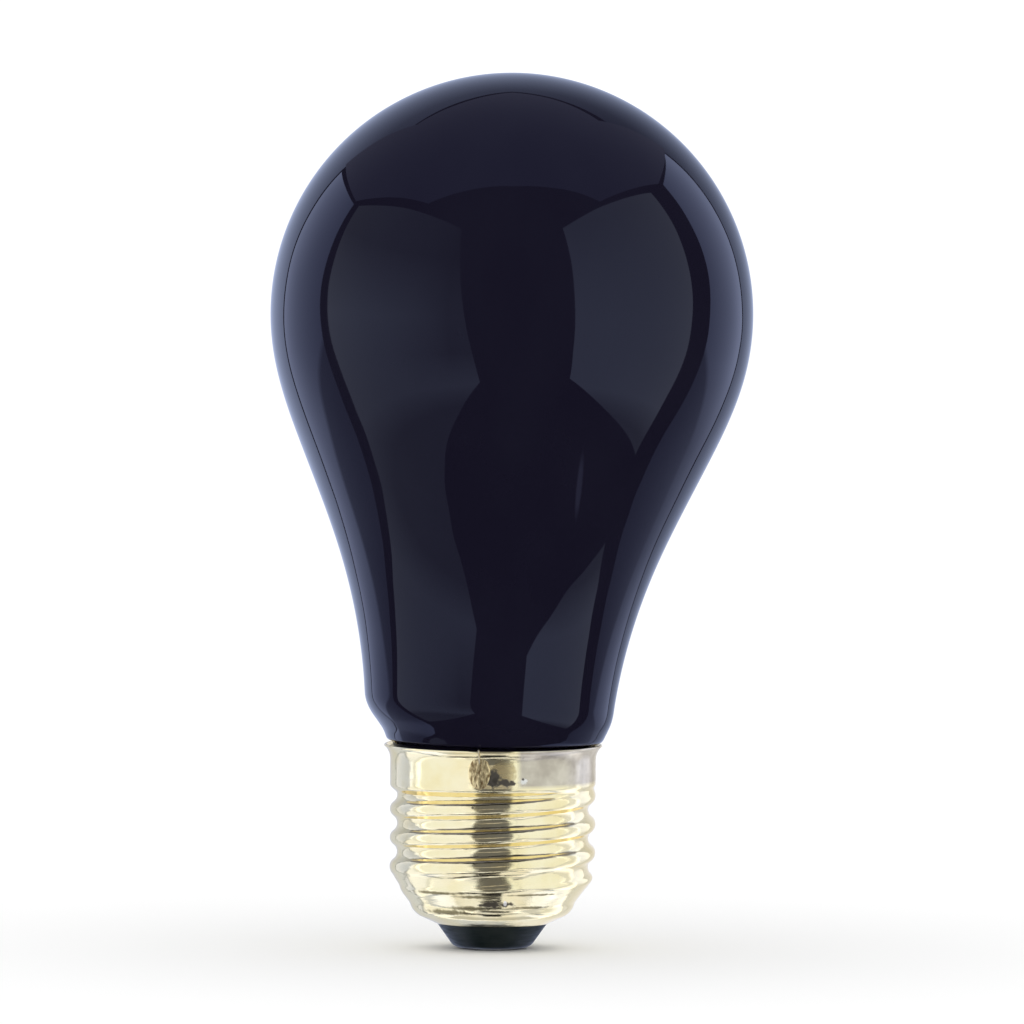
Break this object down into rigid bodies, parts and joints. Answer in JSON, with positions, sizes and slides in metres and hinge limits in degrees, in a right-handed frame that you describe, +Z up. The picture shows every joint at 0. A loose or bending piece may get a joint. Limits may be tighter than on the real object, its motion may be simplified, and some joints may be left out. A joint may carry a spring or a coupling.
{
  "type": "black light lamp",
  "caption": "Pear-shaped black-light lamp: an opaque dark violet glass bulb, tilted slightly in a pale brass screw cap with a rolled thread, black glass insulator and soldered centre contact.",
  "frame": {"origin": "middle of the centre contact's lowest face, on the screw cap's axis", "axes": "+Z up the cap's axis, from the centre contact to the bulb's crown; -Y is the front; the bulb leans towards +X"},
  "size_m": [0.061, 0.061, 0.1108],
  "materials": {
    "glass": "gloss, coloured through and opaque",
    "cap_sheet": "bright rolled sheet",
    "insulator": "gloss, opaque black cast glass",
    "cement": "matt baked cement",
    "eyelet": "bright pressed brass",
    "contact_solder": "satin solder",
    "side_solder": "satin solder, browned by flux",
    "lead_wire": "drawn wire"
  },
  "bodies": {
    "root": {"glass_bulb": "glass", "basing_cement": "cement", "screw_shell": "cap_sheet", "base_insulator": "insulator", "contact_eyelet": "eyelet", "contact_solder": "contact_solder", "centre_lead_wire": "lead_wire", "side_lead_wire": "lead_wire", "side_solder": "side_solder"}
  },
  "joints": []
}
